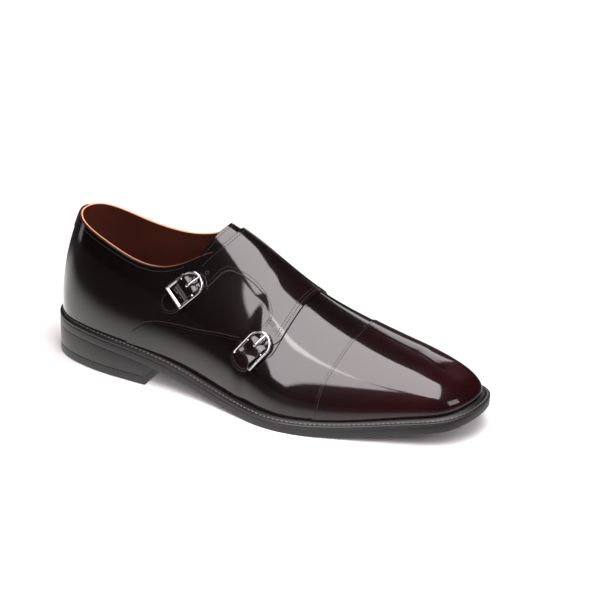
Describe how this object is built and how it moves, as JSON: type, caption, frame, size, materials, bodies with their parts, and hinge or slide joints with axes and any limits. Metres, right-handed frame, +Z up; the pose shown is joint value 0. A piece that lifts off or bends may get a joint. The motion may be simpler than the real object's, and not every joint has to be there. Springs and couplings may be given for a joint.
{
  "type": "monk strap shoe",
  "caption": "Low leather dress shoe for the right foot, closed over the instep by a panel whose straps end in buckles on the outer side, on a welted sole with a stacked heel.",
  "frame": {"origin": "middle of the shoe's length and width, on the floor under the sole", "axes": "+X towards the toe, +Y towards the inner side of the foot, +Z up"},
  "size_m": [0.3036, 0.106, 0.1083],
  "materials": {
    "upper_leather": "burgundy calf leather, high gloss",
    "lining_leather": "tan lining leather, matte",
    "sole_leather": "black edge dressing, satin",
    "heel_rubber": "black rubber, satin",
    "buckle_metal": "polished steel"
  },
  "bodies": {
    "root": {"upper": "upper_leather", "tongue": "upper_leather", "monk_strap_panel": "upper_leather", "buckle_frame_upper": "buckle_metal", "buckle_pin_upper": "buckle_metal", "buckle_frame_lower": "buckle_metal", "buckle_pin_lower": "buckle_metal", "insole": "lining_leather", "welt": "sole_leather", "outsole": "sole_leather", "heel_stack": "sole_leather", "top_lift": "heel_rubber"}
  },
  "joints": []
}
